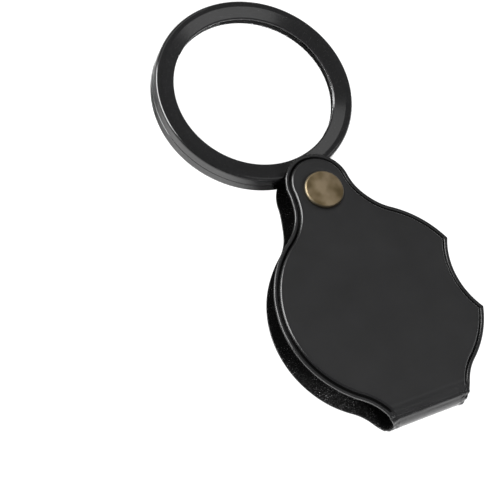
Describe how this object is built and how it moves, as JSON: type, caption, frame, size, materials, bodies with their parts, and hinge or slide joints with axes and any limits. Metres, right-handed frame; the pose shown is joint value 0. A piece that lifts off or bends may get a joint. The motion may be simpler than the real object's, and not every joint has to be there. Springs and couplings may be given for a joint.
{
  "type": "folding pocket magnifier",
  "caption": "Round lens in a black rim that swings on a brass rivet out of a padded leather case with a folded lower edge and a thumb notch, for reading small print.",
  "frame": {"origin": "on the flat outer face of the back panel, at the centre of the round part of the case", "axes": "+Y from the origin to the rivet, +X towards the thumb notch, +Z from the back panel to the front panel; the rivet axis is parallel to Z"},
  "size_m": [0.0634, 0.1408, 0.0144],
  "materials": {
    "cover_leather": "satin black leather with a fine grain and a welded edge",
    "lining_flock": "black flock",
    "stiffening_board": "grey board, hidden",
    "antique_brass": "antique brass, darkened and lightly rubbed",
    "rim_plastic": "gloss black moulding",
    "lens_glass": "clear polished lens"
  },
  "bodies": {
    "case": {"leather_cover": "cover_leather", "flocked_lining": "lining_flock", "front_board": "stiffening_board", "back_board": "stiffening_board", "rivet_front_cap": "antique_brass", "rivet_socket": "antique_brass", "rivet_back_cap": "antique_brass", "rivet_post": "antique_brass"},
    "magnifier": {"rim_front": "rim_plastic", "rim_back": "rim_plastic", "lens": "lens_glass"}
  },
  "joints": [
    {"name": "lens_swing", "type": "hinge", "parent": "case", "child": "magnifier", "pos_m": [0, 0.0375, 0.006], "axis": [0, 0, 1], "range_deg": [-185.8, 174.2]}
  ]
}
